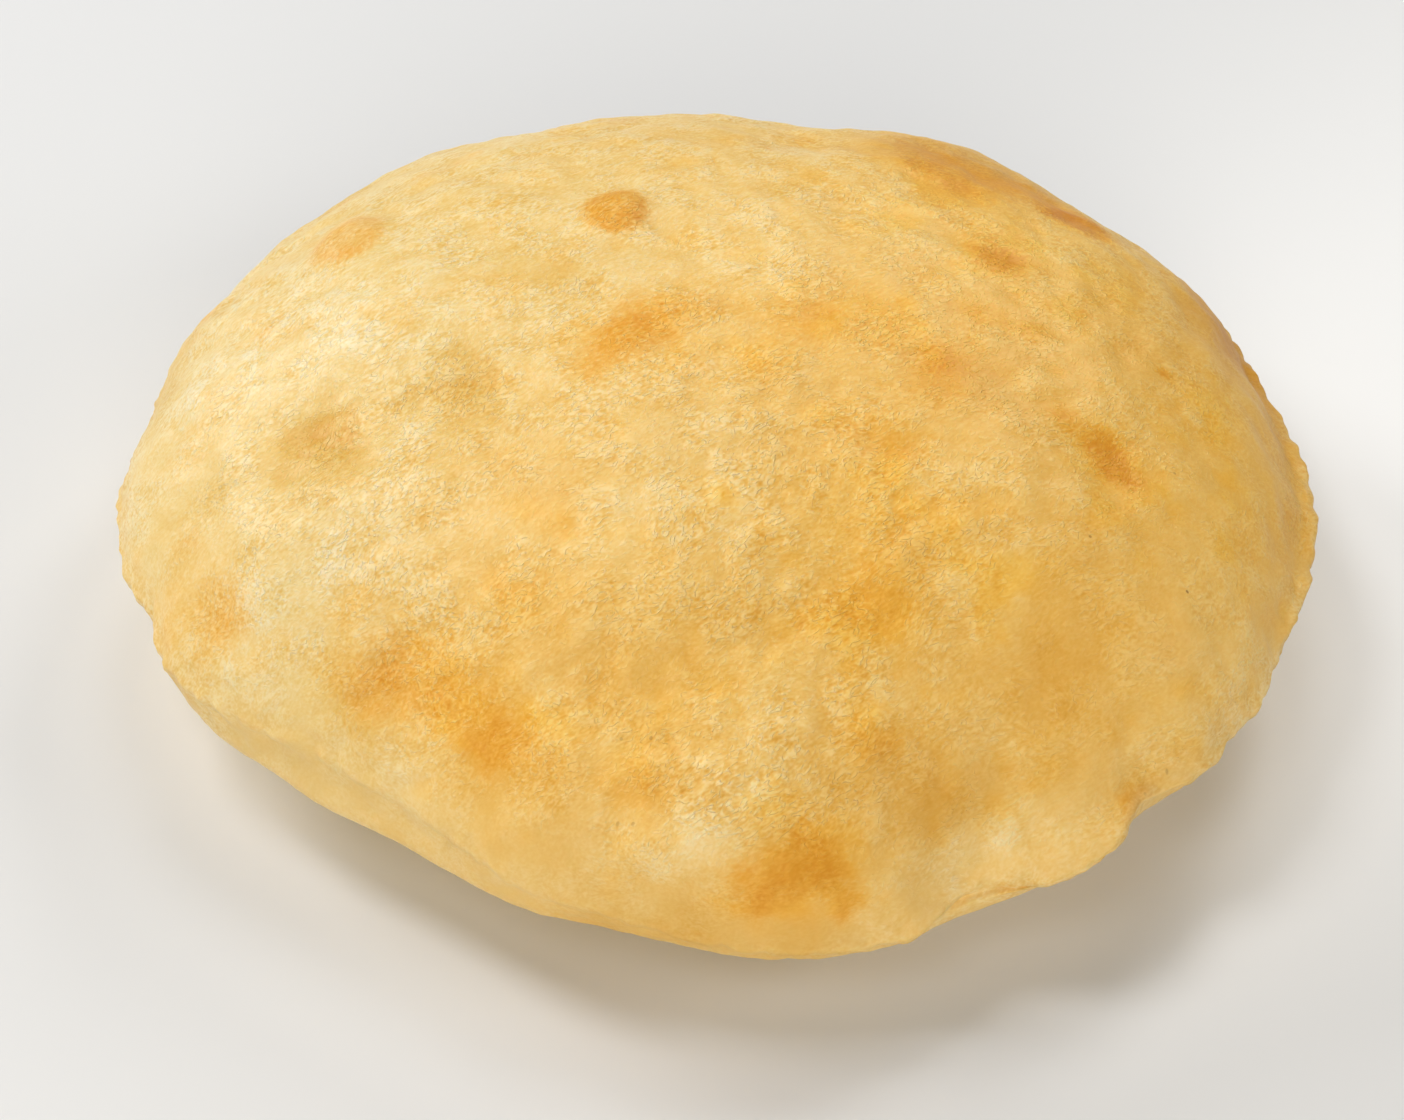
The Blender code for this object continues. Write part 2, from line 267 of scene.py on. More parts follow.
# Where the skin is duller or paler: x, y, z, radius, and tone; the dulling in the hollows is
# painted shade
TONES_AND_PAINTED_SHADE = (
    # painted shade in the hollows, and darker skin on the left
    (-0.0598, -0.0198, 0.0433, 0.0064, -1.00),
    (-0.0545, -0.0262, 0.0455, 0.0050, -0.60),
    (-0.0631, -0.0342, 0.0411, 0.0050, -0.26),
    (-0.0384, -0.0090, 0.0510, 0.0056, -0.44),
    (-0.0368, -0.0148, 0.0505, 0.0040, -0.36),
    (-0.0417, -0.0127, 0.0505, 0.0034, -0.24),
    (-0.0466, -0.0151, 0.0495, 0.0034, -0.24),
    (-0.0314, 0.0117, 0.0549, 0.0060, -0.22),
    (-0.0260, 0.0091, 0.0555, 0.0050, -0.20),
    (-0.0643, 0.0005, 0.0468, 0.0040, -0.14),
    (-0.0749, -0.0088, 0.0407, 0.0040, -0.18),
    (-0.0250, 0.0080, 0.0552, 0.0040, -0.20),
    (-0.0370, -0.0240, 0.0500, 0.0060, -0.18),
    (-0.0572, -0.0167, 0.0450, 0.0044, -0.22),
    (-0.0542, -0.0266, 0.0458, 0.0044, -0.24),
    (-0.0354, -0.0199, 0.0509, 0.0050, -0.26),
    (-0.0436, -0.0139, 0.0491, 0.0040, -0.16),
    (-0.0220, -0.0328, 0.0515, 0.0056, -0.26),
    (-0.0364, -0.0157, 0.0505, 0.0050, -0.22),
    # darker skin of the crown and the right
    (0.0322, -0.0060, 0.0536, 0.0056, -0.42),
    (0.0330, -0.0120, 0.0535, 0.0040, -0.18),
    (0.0061, -0.0120, 0.0551, 0.0070, -0.24),
    (0.0080, -0.0260, 0.0535, 0.0050, -0.26),
    (0.0370, -0.0060, 0.0528, 0.0060, -0.26),
    (0.0430, 0.0010, 0.0518, 0.0060, -0.26),
    (-0.0090, -0.0200, 0.0550, 0.0040, -0.24),
    (0.0440, -0.0160, 0.0505, 0.0050, -0.20),
    (0.0250, -0.0210, 0.0535, 0.0050, -0.18),
    (0.0262, -0.0385, 0.0470, 0.0056, -0.46),
    (0.0479, -0.0470, 0.0385, 0.0110, -0.34),
    (0.0495, -0.0339, 0.0457, 0.0050, -0.26),
    (0.0489, -0.0107, 0.0495, 0.0040, -0.22),
    (0.0560, -0.0170, 0.0460, 0.0050, -0.18),
    (0.0683, -0.0139, 0.0417, 0.0030, -0.30),
    (0.0640, 0.0100, 0.0450, 0.0090, -0.28),
    (0.0400, 0.0230, 0.0518, 0.0050, -0.16),
    (0.0289, -0.0124, 0.0536, 0.0046, -0.24),
    (0.0368, -0.0351, 0.0478, 0.0044, -0.22),
    (0.0478, -0.0401, 0.0429, 0.0060, -0.24),
    (0.0628, -0.0434, 0.0358, 0.0080, -0.20),
    (0.0301, -0.0086, 0.0538, 0.0044, -0.20),
    (0.0252, -0.0036, 0.0544, 0.0040, -0.16),
    # darker skin of the front
    (0.0453, -0.0531, 0.0347, 0.0080, -0.26),
    (0.0033, -0.0535, 0.0440, 0.0090, -0.22),
    (-0.0098, -0.0606, 0.0408, 0.0080, -0.18),
    (-0.0490, -0.0550, 0.0340, 0.0060, -0.26),
    (-0.0474, -0.0605, 0.0306, 0.0044, -0.46),
    (-0.0197, -0.0728, 0.0335, 0.0070, -0.30),
    (-0.0315, -0.0687, 0.0306, 0.0050, -0.46),
    (-0.0085, -0.0733, 0.0352, 0.0060, -0.42),
    (-0.0045, -0.0740, 0.0350, 0.0044, -0.22),
    (0.0185, -0.0690, 0.0350, 0.0060, -0.28),
    (0.0266, -0.0684, 0.0311, 0.0080, -0.46),
    (0.0347, -0.0650, 0.0285, 0.0050, -0.42),
    (0.0344, -0.0610, 0.0322, 0.0050, -0.22),
    (0.0304, -0.0704, 0.0265, 0.0050, -0.30),
    (-0.0180, -0.0545, 0.0440, 0.0070, -0.14),
    (0.0242, -0.0644, 0.0345, 0.0044, -0.20),
    (0.0333, -0.0680, 0.0266, 0.0044, -0.24),
    # golden skin at the back right
    (0.0262, 0.0526, 0.0485, 0.0080, -0.36),
    (0.0330, 0.0560, 0.0460, 0.0100, -0.90),
    (0.0480, 0.0510, 0.0430, 0.0100, -0.90),
    (0.0554, 0.0454, 0.0428, 0.0044, -0.30),
    (0.0448, 0.0684, 0.0360, 0.0080, -0.45),
    (0.0310, 0.0645, 0.0430, 0.0080, -0.34),
    # golden skin at the rim
    (-0.0754, -0.0227, 0.0370, 0.0040, -0.38),
    (-0.0782, -0.0290, 0.0330, 0.0060, -0.22),
    (0.0775, 0.0235, 0.0355, 0.0070, -0.30),
    (0.0755, 0.0352, 0.0350, 0.0090, -0.34),
    (0.0830, 0.0380, 0.0260, 0.0110, -0.95),
    (0.0870, 0.0250, 0.0237, 0.0100, -0.80),
    (0.0880, 0.0080, 0.0260, 0.0080, -0.45),
    (0.0870, -0.0080, 0.0250, 0.0080, -0.40),
    (-0.0885, 0.0040, 0.0280, 0.0070, -0.50),
    (-0.0840, 0.0160, 0.0330, 0.0060, -0.18),
    (-0.0747, 0.0412, 0.0325, 0.0080, -0.30),
    (-0.0678, 0.0487, 0.0337, 0.0080, -0.30),
    (0.0001, -0.0830, 0.0181, 0.0060, -0.30),
    (-0.0150, -0.0805, 0.0140, 0.0070, -0.60),
    (0.0130, -0.0830, 0.0170, 0.0060, -0.50),
    (0.0806, 0.0316, 0.0305, 0.0070, -0.55),
    (0.0762, 0.0301, 0.0358, 0.0060, -0.24),
    (-0.0912, 0.0137, 0.0210, 0.0070, -0.30),
    (-0.0646, 0.0542, 0.0330, 0.0070, -0.42),
    (-0.0540, 0.0630, 0.0345, 0.0070, -0.30),
    (-0.0037, -0.0829, 0.0178, 0.0064, -0.40),
    # paler skin of the crown and the back
    (0.0009, 0.0158, 0.0561, 0.0070, 0.10),
    (0.0000, -0.0341, 0.0516, 0.0050, 0.10),
    (0.0163, -0.0399, 0.0471, 0.0044, 0.16),
    (-0.0128, -0.0386, 0.0506, 0.0056, 0.16),
    (0.0018, -0.0059, 0.0556, 0.0040, 0.20),
    (0.0500, 0.0280, 0.0485, 0.0120, 0.16),
    (-0.0143, -0.0393, 0.0504, 0.0050, 0.24),
    (-0.0032, -0.0350, 0.0521, 0.0070, 0.14),
    (0.0147, -0.0343, 0.0496, 0.0060, 0.20),
    (0.0010, -0.0075, 0.0563, 0.0036, 0.30),
    (-0.0010, -0.0345, 0.0515, 0.0036, 0.30),
    (0.0000, 0.0170, 0.0565, 0.0110, 0.16),
    (0.0075, 0.0075, 0.0566, 0.0050, 0.20),
    (0.0241, 0.0281, 0.0535, 0.0060, 0.24),
    (0.0163, 0.0430, 0.0530, 0.0120, 0.14),
    # paler skin on the left
    (-0.0522, -0.0302, 0.0464, 0.0050, 0.34),
    (-0.0800, 0.0000, 0.0370, 0.0110, 0.12),
    (-0.0820, -0.0140, 0.0345, 0.0080, 0.10),
    (-0.0520, -0.0420, 0.0410, 0.0070, 0.20),
    (-0.0653, -0.0459, 0.0323, 0.0060, 0.18),
    (-0.0310, -0.0380, 0.0485, 0.0070, 0.16),
    (-0.0580, 0.0010, 0.0500, 0.0110, 0.14),
    (-0.0690, -0.0020, 0.0450, 0.0120, 0.10),
    (-0.0634, -0.0438, 0.0367, 0.0060, 0.12),
    (-0.0300, -0.0137, 0.0522, 0.0036, 0.26),
    # paler skin of the front
    (-0.0403, -0.0545, 0.0363, 0.0034, 0.22),
    (-0.0346, -0.0620, 0.0340, 0.0034, 0.20),
    (-0.0116, -0.0684, 0.0357, 0.0034, 0.20),
    (0.0063, -0.0500, 0.0441, 0.0060, 0.18),
    (-0.0330, -0.0614, 0.0348, 0.0036, 0.20),
    (-0.0190, -0.0650, 0.0370, 0.0044, 0.16),
    (0.0070, -0.0737, 0.0342, 0.0040, 0.20),
    (0.0187, -0.0739, 0.0299, 0.0030, 0.24),
    (0.0012, -0.0587, 0.0410, 0.0044, 0.16),
    (-0.0393, -0.0503, 0.0413, 0.0050, 0.12),
    (-0.0400, -0.0666, 0.0285, 0.0060, 0.26),
    (-0.0344, -0.0597, 0.0353, 0.0034, 0.18),
    (-0.0124, -0.0682, 0.0358, 0.0036, 0.30),
    (-0.0115, -0.0768, 0.0308, 0.0040, 0.32),
    (0.0090, -0.0583, 0.0405, 0.0060, 0.20),
    (-0.0230, -0.0630, 0.0370, 0.0050, 0.20),
    (0.0125, -0.0770, 0.0300, 0.0020, 0.20),
    (-0.0025, -0.0795, 0.0315, 0.0050, 0.46),
    (-0.0010, -0.0770, 0.0335, 0.0070, 0.20),
    (0.0042, -0.0727, 0.0365, 0.0050, 0.14),
    (0.0037, -0.0640, 0.0400, 0.0080, 0.16),
    # paler skin on the right
    (0.0409, -0.0380, 0.0459, 0.0040, 0.20),
    (0.0420, -0.0390, 0.0450, 0.0036, 0.16),
    (0.0430, -0.0402, 0.0440, 0.0070, 0.34),
    (0.0395, -0.0600, 0.0330, 0.0046, 0.28),
    (0.0340, -0.0400, 0.0470, 0.0040, 0.30),
    (0.0385, -0.0480, 0.0420, 0.0040, 0.24),
    (0.0325, -0.0715, 0.0222, 0.0044, 0.40),
    (0.0377, -0.0689, 0.0226, 0.0050, 0.34),
    (0.0433, -0.0666, 0.0232, 0.0050, 0.30),
    (0.0489, -0.0641, 0.0235, 0.0060, 0.14),
    (0.0615, -0.0500, 0.0307, 0.0060, 0.26),
    (0.0658, -0.0479, 0.0308, 0.0050, 0.20),
    (0.0724, -0.0402, 0.0307, 0.0070, 0.30),
    (0.0800, -0.0380, 0.0240, 0.0080, 0.14),
)
# Where the skin is smooth rather than grainy: x, y, z of the middle, radius, and share
SMOOTH_PATCHES = (
    (0.0750, -0.0300, 0.0330, 0.0420, 0.40),
    (0.0450, -0.0640, 0.0250, 0.0200, 0.50),
    (-0.0653, -0.0560, 0.0180, 0.0130, 0.90),
    (-0.0528, -0.0650, 0.0187, 0.0120, 0.90),
    (-0.0393, -0.0720, 0.0188, 0.0130, 0.90),
    (-0.0246, -0.0800, 0.0200, 0.0140, 0.90),
    (-0.0080, -0.0840, 0.0180, 0.0120, 0.80),
    (0.0100, -0.0850, 0.0180, 0.0120, 0.80),
    (0.0260, -0.0800, 0.0200, 0.0110, 0.80),
    (-0.0541, -0.0270, 0.0474, 0.0036, 0.60),
    (-0.0816, -0.0250, 0.0307, 0.0100, 0.50),
    (-0.0080, -0.0600, 0.0410, 0.0080, 0.50),
)
# Where the skin is covered with small bubbles: x, y, z of the middle, radius, and share
BUBBLY_PATCHES = (
    (-0.0080, -0.0700, 0.0400, 0.0140, 0.60),
    (0.0060, -0.0640, 0.0400, 0.0160, 0.80),
    (0.0160, -0.0390, 0.0490, 0.0200, 0.70),
    (0.0010, -0.0040, 0.0560, 0.0240, 0.45),
    (-0.0390, -0.0540, 0.0400, 0.0130, 0.60),
    (-0.0400, -0.0180, 0.0500, 0.0120, 0.50),
    (-0.0540, -0.0200, 0.0450, 0.0130, 0.70),
    (0.0400, 0.0300, 0.0510, 0.0180, 0.20),
)
# Where the skin has small dark specks: x, y, z of the middle, radius, and share
SPECKED_PATCHES = (
    (0.0720, -0.0400, 0.0310, 0.0180, 1.00),
    (0.0600, -0.0300, 0.0400, 0.0180, 0.80),
    (-0.0080, -0.0720, 0.0360, 0.0080, 0.80),
)
# Creases and small ridges of the skin: ends as x, y, half width, and rise or fall
CREASES = (
    (-0.0800, 0.0200, -0.0786, 0.0296, 0.0012, -0.0011),
    (-0.0786, 0.0296, -0.0640, 0.0380, 0.0014, -0.0012),
    (-0.0640, 0.0350, -0.0501, 0.0400, 0.0012, -0.0009),
    (-0.0501, 0.0400, -0.0362, 0.0470, 0.0014, -0.0006),
    (-0.0362, 0.0470, -0.0150, 0.0600, 0.0012, -0.0004),
    (-0.0740, 0.0020, -0.0715, 0.0075, 0.0009, -0.0004),
)
CREASE_FLOOR = 0.020           # creases lie on the skin above this height

# How the waves, scallops and bulges die away from the seam inwards
WAVE_FADE = 3
EDGE_FADE = 22
SCALLOP_FADE = 26
BULGE_DEPTH = 0.080
RELIEF_FADE = 0.06
RING_CROWDING = 1.4            # more rings towards the seam

# Form of the two skins, as rounded-off power curves
CROWN_SHIFT = (-0.004, 0.004)  # how far the top of the dome lies off the middle
DOME_FORM = (2.2, 0.58)        # squareness and steepness
BELLY_FORM = (2.4, 0.60)
ROOT_SOFTNESS = 0.008          # fillet between a skin and the lip
BELLY_SETTLE = 0.0010          # softness of the edge of the flat spot

# Noise that shapes the skin: spacing of its lumps and an offset that sets it apart
UNEVEN_NOISE = (0.017, 0.0)
RIPPLE_NOISE = (0.0062, 3.0)
FINE_RIPPLE_NOISE = (0.0034, 7.0)
BELLY_NOISE = (0.013, 5.0)
SCALLOP_NOISE = (0.0022, 11.0)
WIDE_SCALLOP_NOISE = (0.0055, 17.0)
LIP_LIFT_NOISE = (0.0040, 23.0)
BUBBLE_SPACING = 0.0036
BUBBLES_ANYWHERE = 0.12        # height of the bubbles outside the bubbly patches
FLAT_SPOT_EDGE = (0.0004, 0.006)   # heights between which the relief fades out
BELLY_EDGE = (0.97, 1.0)           # reach over which the top takes the belly's colour
# Noise that makes the edges of patches ragged: spacing, reach and offset
PATCH_STRAY = (0.0060, 0.0014, 41.0)
FINE_PATCH_STRAY = (0.0026, 0.0010, 43.0)
BLISTER_STRAY = (0.0024, 0.0004, 47.0)
# Grain of the crust: how many of each there are to a metre
STRANDS = 1450.0
STROKES = 1100.0
LUMPS = 210.0
POOLS = 130.0
SPECKS = 95.0
MOTTLES = 90.0
SWIRLS = 60.0
SWIRL_REACH = 0.004            # how far the swirls push the strands aside
GRAIN_TURN = 40.0              # direction in which the strands are drawn out
GRAIN_STRETCH = (1.7, 1.0, 1.0)
BUMP_HEIGHT = 0.001
# How much the grain swings the tone, the browning and the bumps; the tone holds painted
# shade and painted glints as well as the grain's colour
# the tone of the strands and lumps is partly the grain's own colour and partly painted shade
# of the fine relief
STRAND_GRAIN_AND_PAINTED_SHADE = 2.8
LUMP_GRAIN_AND_PAINTED_SHADE = 1.3
# the lift's tone is painted shade of the lumps: darker in their dips, paler on their tops
LUMP_HEIGHT_PAINTED_SHADE = 0.45
# the strokes' tone is painted glints on the pale ridges
STROKE_PAINTED_GLINT = (0.24, -0.02)    # share, and what is added
POOL_TONE = (0.20, -0.17)
# the brightest that the painted light of the ridges and glints may make the skin
BRIGHTEST_PAINTED_LIGHT = (0.46, 0.6)   # tone that the ridges level off at, and how softly
STRAND_BROWNING = -0.8
LUMP_BROWNING = 1.2
STRAND_BUMP = 0.12
STROKE_BUMP = 0.10
LUMP_BUMP = (0.28, 0.24)       # added where the skin is bubbly, and everywhere
# How much a change of tone tells in red, green and blue
TINT = (0.15, 0.36, 1.00)


def linear(red, green, blue):
    """Scene-linear colour of a display colour given from 0 to 255."""
    parts = []
    for part in (red, green, blue):
        part /= 255.0
        parts.append(part / 12.92 if part <= 0.04045 else ((part + 0.055) / 1.055) ** 2.4)
    return tuple(parts)


# ---------------------------------------------------------------- settings

class BreadSizes(bpy.types.PropertyGroup):
    """Sizes of the bread."""
    half_width: FloatProperty(
        name="Half width", description="Middle to lip along X", default=0.0922,
        unit="LENGTH")
    half_depth: FloatProperty(
        name="Half depth", description="Middle to lip along Y", default=0.0850,
        unit="LENGTH")
    crown_height: FloatProperty(
        name="Crown height", description="Resting plane to the top of the dome",
        default=0.0560, unit="LENGTH")
    seam_height: FloatProperty(
        name="Seam height", description="Resting plane to the seam", default=0.0210,
        unit="LENGTH")
    belly_pressed: FloatProperty(
        name="Belly pressed", description="How far the belly would bulge under the plane",
        default=0.0025, unit="LENGTH")
    lip_reach: FloatProperty(
        name="Lip reach", description="How far the lip stands out from the skins",
        default=0.0006, unit="LENGTH")
    lip_thickness: FloatProperty(
        name="Lip thickness", description="Half the thickness of the lip",
        default=0.0006, unit="LENGTH")
    lip_taper: FloatProperty(
        name="Lip taper", description="How far in from its tip the lip thins",
        default=0.0022, unit="LENGTH")
    scallop_depth: FloatProperty(
        name="Scallop depth", description="Depth of the scallops of the lip",
        default=0.00066, unit="LENGTH")
    uneven_depth: FloatProperty(
        name="Unevenness", description="Depth of the slow unevenness of the skin",
        default=0.0005, unit="LENGTH")
    ripple_depth: FloatProperty(
        name="Ripple depth", description="Depth of the finer lumps of the skin",
        default=0.00045, unit="LENGTH")
    bubble_depth: FloatProperty(
        name="Bubble height", description="Height of the small bubbles",
        default=0.00060, unit="LENGTH")
    cells: IntProperty(
        name="Cells", description="Cells along each side of the grids", default=208,
        min=16, max=220)


class CrustColours(bpy.types.PropertyGroup):
    """Colours and finish of the crust."""
    pale: FloatVectorProperty(
        name="Pale crust", description="Colour of the least browned crust",
        default=linear(243, 216, 151), subtype="COLOR", min=0.0, max=1.0)
    golden: FloatVectorProperty(
        name="Golden crust", description="Colour of lightly browned crust",
        default=linear(249, 194, 84), subtype="COLOR", min=0.0, max=1.0)
    brown: FloatVectorProperty(
        name="Brown crust", description="Colour of the brownest crust",
        default=linear(233, 163, 50), subtype="COLOR", min=0.0, max=1.0)
    belly: FloatVectorProperty(
        name="Belly", description="Colour of the smooth belly",
        default=linear(242, 207, 132), subtype="COLOR", min=0.0, max=1.0)
    speck: FloatVectorProperty(
        name="Speck", description="Colour of the few dark specks",
        default=linear(132, 72, 18), subtype="COLOR", min=0.0, max=1.0)
    roughness: FloatProperty(
        name="Roughness", description="Roughness of the oily skin", default=0.44,
        min=0.0, max=1.0, subtype="FACTOR")


class StageSettings(bpy.types.PropertyGroup):
    """Floor and studio lights."""
    floor_size: FloatProperty(
        name="Floor size", description="Side of the square floor", default=6.0,
        unit="LENGTH")
    floor_colour: FloatVectorProperty(
        name="Floor", description="Colour of the floor", default=linear(233, 235, 238),
        subtype="COLOR", min=0.0, max=1.0)
    lamp_power: FloatProperty(
        name="Lamp power", description="Power that all lamps are scaled by", default=1.0,
        min=0.0)
    floor_roughness: FloatProperty(
        name="Floor roughness", description="Roughness of the satin floor", default=0.35,
        min=0.0, max=1.0, subtype="FACTOR")
    fill: FloatProperty(
        name="Fill light", description="Strength of the light from all round",
        default=0.045, min=0.0)
    fill_colour: FloatVectorProperty(
        name="Fill colour", description="Colour of the light from all round",
        default=(0.98, 0.92, 0.80), subtype="COLOR", min=0.0, max=1.0)


# ---------------------------------------------------------------- shape

def along_seam(angles, features):
    """Sum of smooth bumps that sit at angles round the seam."""
    total = np.zeros_like(angles)
    for at, half_width, amount in features:
        apart = (angles - at + 180.0) % 360.0 - 180.0
        total += amount * np.exp(-(apart / half_width) ** 2)
    return total


def oval_radius(angles, sizes):
    """Distance from the middle to the plain oval that the seam follows."""
    turn = np.radians(angles)
    return 1.0 / np.hypot(np.cos(turn) / sizes.half_width, np.sin(turn) / sizes.half_depth)


def soft_ramp(values, softness):
    """Values where they are positive, easing to nothing where they are negative."""
    return 0.5 * (values + np.hypot(values, softness))


def skin_curve(radius, seam, root, softness, form):
    """Height of a skin over the seam, 1 at the middle and 0 at the tip of the lip."""
    squareness, steepness = form
    here = soft_ramp(1.0 - (radius / root) ** squareness, softness) ** steepness
    tip = soft_ramp(1.0 - (seam / root) ** squareness, softness) ** steepness
    middle = soft_ramp(1.0, softness) ** steepness
    return (here - tip) / (middle - tip)


def lip_half_thickness(radius, seam, sizes):
    """Half thickness of the lip, rounded off at its tip."""
    into_tip = (radius - seam + sizes.lip_taper) / sizes.lip_taper
    return sizes.lip_thickness * np.sqrt(1.0 - np.clip(into_tip, 0.0, 1.0) ** 2)


def bulge(reach):
    """Share of a bulge at this reach, fullest just inside the seam."""
    inwards = (1.0 - reach) / BULGE_DEPTH
    return inwards ** 2 * np.exp(2.0 - 2.0 * inwards)


def bread_points(angles, shares, top, sizes):
    """Points of a skin; the share is 0 in the middle and 1 at the seam."""
    reach = 1.0 - (1.0 - shares) ** RING_CROWDING
    oval = oval_radius(angles, sizes)
    wave = along_seam(angles, SEAM_WAVES)
    seam = oval + wave
    level = sizes.seam_height + along_seam(angles, SEAM_RISES)
    root = seam - sizes.lip_reach - along_seam(angles, LIP_CHANGES)
    lip = lip_half_thickness(seam * reach, seam, sizes)
    flare = ROOT_SOFTNESS + along_seam(angles, FLARES)
    dome = skin_curve(seam * reach, seam, root, flare, DOME_FORM)
    dome = level + lip + (sizes.crown_height - level) * dome
    full = skin_curve(seam * reach, seam, root, ROOT_SOFTNESS, BELLY_FORM)
    full = np.maximum(level - lip - (level + sizes.belly_pressed) * full, 0.0)
    belly = full ** 2 / (full + BELLY_SETTLE)
    edge = along_seam(angles, EDGE_WAVES)
    radius = oval * reach + wave * reach ** WAVE_FADE + edge * reach ** EDGE_FADE
    bulges = np.where(top, along_seam(angles, DOME_BULGES), along_seam(angles, BELLY_BULGES))
    radius = radius + bulges * bulge(reach)
    shift = np.where(top, 1.0 - reach ** 2, 0.0)
    turn = np.radians(angles)
    return reach, np.stack([
        radius * np.cos(turn) + CROWN_SHIFT[0] * shift,
        radius * np.sin(turn) + CROWN_SHIFT[1] * shift,
        np.where(top, dome, belly)], axis=1)


def noise_at(points, spacing, offset):
    """Smooth noise from -1 to 1 at each point, the same on every run."""
    return np.array([noise.noise(Vector(point) / spacing + Vector((offset,) * 3))
                     for point in points.tolist()])


def bubbles_at(points, spacing):
    """Rounded bubbles from 0 to 1 that lie side by side."""
    heights = []
    for point in points.tolist():
        near, far = noise.voronoi(Vector(point) / spacing)[0][:2]
        heights.append(min(1.0, 1.6 * (far - near)) * (1.0 - 0.5 * near))
    return np.array(heights)


def patches_at(points, patches):
    """Soft round patches at each point, run together where they meet."""
    clear = np.ones(len(points))
    for x, y, z, radius, amount in patches:
        apart = np.linalg.norm(points - (x, y, z), axis=1) / radius
        clear *= 1.0 - amount * np.exp(-apart ** 2)
    return 1.0 - clear


def strayed(points, spacing, reach, offset):
    """Points moved about by smooth noise, to make the edges of patches ragged."""
    moved = [noise_at(points, spacing, offset + 31.0 * axis) for axis in range(3)]
    return points + reach * np.stack(moved, axis=1)


def bumps_at(points, bumps):
    """Sum of soft round bumps and dips at each point."""
    total = np.zeros(len(points))
    for x, y, z, radius, rise in bumps:
        apart = np.linalg.norm(points - (x, y, z), axis=1) / radius
        total += rise * np.exp(-apart ** 2)
    return total


def blister_places(points):
    """Distance of the points from each blister's middle, 1 at its rim, and its values."""
    for x, y, z, half_width, half_length, rise, brown in BLISTERS:
        reach = np.array((half_width, half_length, half_width))
        yield np.linalg.norm((points - (x, y, z)) / reach, axis=1), rise, brown


def blisters_at(points):
    """Rise of the skin by its round blisters, steep at their rims."""
    total = np.zeros(len(points))
    for apart, rise, _ in blister_places(points):
        total += rise / (1.0 + np.exp(np.minimum((apart - RISE_ENDS) * RIM_STEEPNESS, 60.0)))
    return total


def blister_browning(points):
    """How brown the blisters are at each point, most of all near their rims."""
    middle, towards_rim = BROWN_SPREAD
    total = np.zeros(len(points))
    for apart, _, brown in blister_places(points):
        past_rim = np.minimum((apart - BROWN_ENDS) * 2.0 * RIM_STEEPNESS, 60.0)
        spread = middle + towards_rim * np.minimum(apart, 1.0) ** 2
        total += brown * spread / (1.0 + np.exp(past_rim))
    return total


def creases_at(points):
    """Fall of the skin along its creases."""
    total = np.zeros(len(points))
    flat = points[:, :2]
    for x0, y0, x1, y1, half_width, rise in CREASES:
        start = np.array((x0, y0))
        run = np.array((x1 - x0, y1 - y0))
        along = np.clip((flat - start) @ run / (run @ run), 0.0, 1.0)
        apart = np.linalg.norm(flat - start - along[:, None] * run, axis=1) / half_width
        ends = np.sin(np.pi * np.clip(along, 0.04, 0.96)) ** 0.5
        total += rise * ends * np.exp(-apart ** 2)
    return total * (points[:, 2] > CREASE_FLOOR)


def wrap_on_disc(places):
    """Angle and share of each place of a square grid, wrapped on to a disc."""
    x, y = places[:, 0], places[:, 1]
    wide = np.abs(x) >= np.abs(y)
    share = np.maximum(np.abs(x), np.abs(y))
    safe = np.where(share > 0.0, share, 1.0)
    side = np.where(wide, np.where(x < 0.0, 180.0, 0.0), np.where(y < 0.0, 270.0, 90.0))
    lean = np.where(wide, y * np.sign(x), -x * np.sign(y)) / safe
    return (side + 45.0 * lean) % 360.0, np.minimum(share, 1.0)


def joined_grids(cells):
    """Two square grids, one over the other, joined round their edges."""
    mesh = bmesh.new()
    bmesh.ops.create_grid(mesh, x_segments=cells, y_segments=cells, size=1.0)
    copied = bmesh.ops.duplicate(mesh, geom=mesh.verts[:] + mesh.edges[:] + mesh.faces[:])
    under = [item for item in copied["geom"] if isinstance(item, bmesh.types.BMFace)]
    bmesh.ops.reverse_faces(mesh, faces=under)
    top = mesh.verts.layers.float.new("top")
    inner = {vert for face in under for vert in face.verts if not vert.is_boundary}
    for vert in mesh.verts:
        vert[top] = 0.0 if vert in inner else 1.0
    edge = [vert for vert in mesh.verts if vert.is_boundary]
    bmesh.ops.remove_doubles(mesh, verts=edge, dist=0.1 / cells)
    return mesh


def vertex_places(data):
    """Places of a mesh's vertices as an array."""
    values = np.zeros(len(data.vertices) * 3)
    data.vertices.foreach_get("co", values)
    return values.reshape(-1, 3)


def vertex_normals(data):
    """Normals of a mesh's vertices as an array."""
    values = np.zeros(len(data.vertices) * 3)
    data.vertex_normals.foreach_get("vector", values)
    return values.reshape(-1, 3)


def put(data, points):
    """Move a mesh's vertices to these points."""
    data.vertices.foreach_set("co", points.ravel())
    data.update()


def keep(data, name, values):
    """Keep a value for each vertex as an attribute."""
    layer = data.attributes.new(name, "FLOAT", "POINT")
    layer.data.foreach_set("value", values.astype(np.float32))


def fit_to_solid(points):
    """Stretch the points, by a hair, to the box of the solid."""
    low, high = points.min(axis=0), points.max(axis=0)
    solid_low, solid_high = (np.array(corner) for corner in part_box("bhatura"))
    return solid_low + (points - low) * (solid_high - solid_low) / (high - low)


def smooth_step(values, low, high):
    """Values eased from 0 at the low mark to 1 at the high mark."""
    part = np.clip((values - low) / (high - low), 0.0, 1.0)
    return part * part * (3.0 - 2.0 * part)


